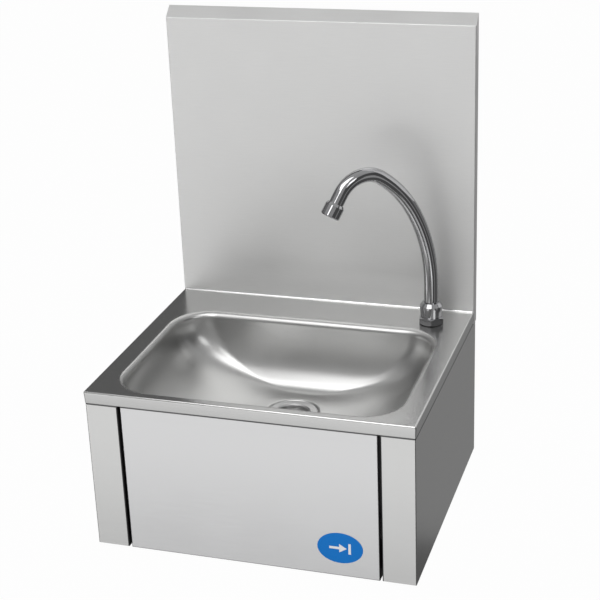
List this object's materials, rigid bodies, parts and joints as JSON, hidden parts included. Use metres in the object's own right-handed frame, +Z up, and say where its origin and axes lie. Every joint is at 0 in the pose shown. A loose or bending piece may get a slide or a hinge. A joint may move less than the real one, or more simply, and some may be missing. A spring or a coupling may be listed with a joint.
{
  "type": "hand wash sink",
  "caption": "Wall-hung steel hand wash sink with a pressed bowl, tall splashback, swan-neck spout and a push panel that works the valve inside.",
  "frame": {"origin": "middle of the line of the two upper wall bolts, on the wall plane", "axes": "+X to the right along the wall, +Y into the wall, +Z up; the sink stands out towards -Y"},
  "size_m": [0.4, 0.345, 0.591],
  "materials": {
    "steel_sheet": "fine brushed stainless steel sheet, 1 mm",
    "steel_fastener": "plain stainless steel",
    "chrome_tube": "polished chrome on brass and steel",
    "chromed_brass": "satin chromed brass",
    "brass": "machined brass",
    "black_rubber": "moulded black rubber",
    "white_plastic": "moulded white plastic",
    "braided_hose": "stainless steel braid over rubber",
    "dark_plastic": "moulded black plastic",
    "blue_label": "printed vinyl sticker, blue with a white sign"
  },
  "bodies": {
    "sink": {"basin_top": "steel_sheet", "splashback": "steel_sheet", "left_side_panel": "steel_sheet", "right_side_panel": "steel_sheet", "rear_top_rail": "steel_sheet", "rear_bottom_rail": "steel_sheet", "valve_crossbar": "steel_sheet", "crossbar_studs": "steel_fastener", "crossbar_nuts": "steel_fastener", "hinge_pins": "steel_fastener", "hinge_nuts": "steel_fastener", "panel_bumpers": "black_rubber", "valve_bonnet": "chromed_brass", "stem_seal": "black_rubber", "bonnet_locknuts": "brass", "valve_body": "chromed_brass", "valve_spring": "steel_fastener", "mixer_body": "chromed_brass", "mixer_gland_nut": "brass", "cold_inlet_union": "brass", "hot_inlet_union": "brass", "check_valves": "white_plastic", "inlet_filters": "steel_fastener", "outlet_hose": "braided_hose", "hose_nuts": "brass", "hose_ferrules": "steel_fastener", "spout_swivel_nut": "chrome_tube", "spout_shank": "brass", "spout_o_rings": "black_rubber", "spout_slip_ring": "white_plastic", "deck_gasket": "black_rubber", "shank_gasket": "black_rubber", "shank_washer": "steel_fastener", "shank_locknut": "brass", "waste_flange": "steel_sheet", "waste_upper_gasket": "black_rubber", "waste_lower_gasket": "black_rubber", "waste_body": "white_plastic", "waste_screw": "steel_fastener"},
    "panel": {"push_panel": "steel_sheet", "push_label": "blue_label", "panel_stiffener": "steel_sheet", "striker_screw": "steel_fastener", "striker_nut": "steel_fastener", "striker_pad": "black_rubber", "hinge_bushes": "white_plastic"},
    "plunger": {"valve_button": "chrome_tube", "valve_stem": "steel_fastener", "valve_poppet": "brass", "poppet_seal": "black_rubber"},
    "spout": {"spout_tube": "chrome_tube", "aerator_housing": "chrome_tube", "aerator_insert": "white_plastic", "aerator_seal": "black_rubber"},
    "mixer_control": {"mixer_spool": "brass", "mixer_knob": "dark_plastic", "knob_screw": "steel_fastener"}
  },
  "joints": [
    {"name": "panel_hinge", "type": "hinge", "parent": "sink", "child": "panel", "pos_m": [0, -0.337, 0.02], "axis": [1, 0, 0], "range_deg": [0, 3.5], "stiffness_Nm_per_rad": 20, "springref_deg": -2.86},
    {"name": "button_slide", "type": "slide", "parent": "sink", "child": "plunger", "axis": [0, 1, 0], "range_m": [0, 0.0096], "deforming": ["valve_spring"]},
    {"name": "spout_swivel", "type": "hinge", "parent": "sink", "child": "spout", "pos_m": [0.1534, -0.0582, 0.03], "axis": [0, 0, 1], "range_deg": [-50, 140]},
    {"name": "temperature_turn", "type": "hinge", "parent": "sink", "child": "mixer_control", "pos_m": [-0.1, -0.206, -0.16], "axis": [0, 0, 1], "range_deg": [-45, 45]}
  ],
  "couplings": [
    {"joint": "button_slide", "follows": "panel_hinge", "m_per_rad": 0.155}
  ]
}
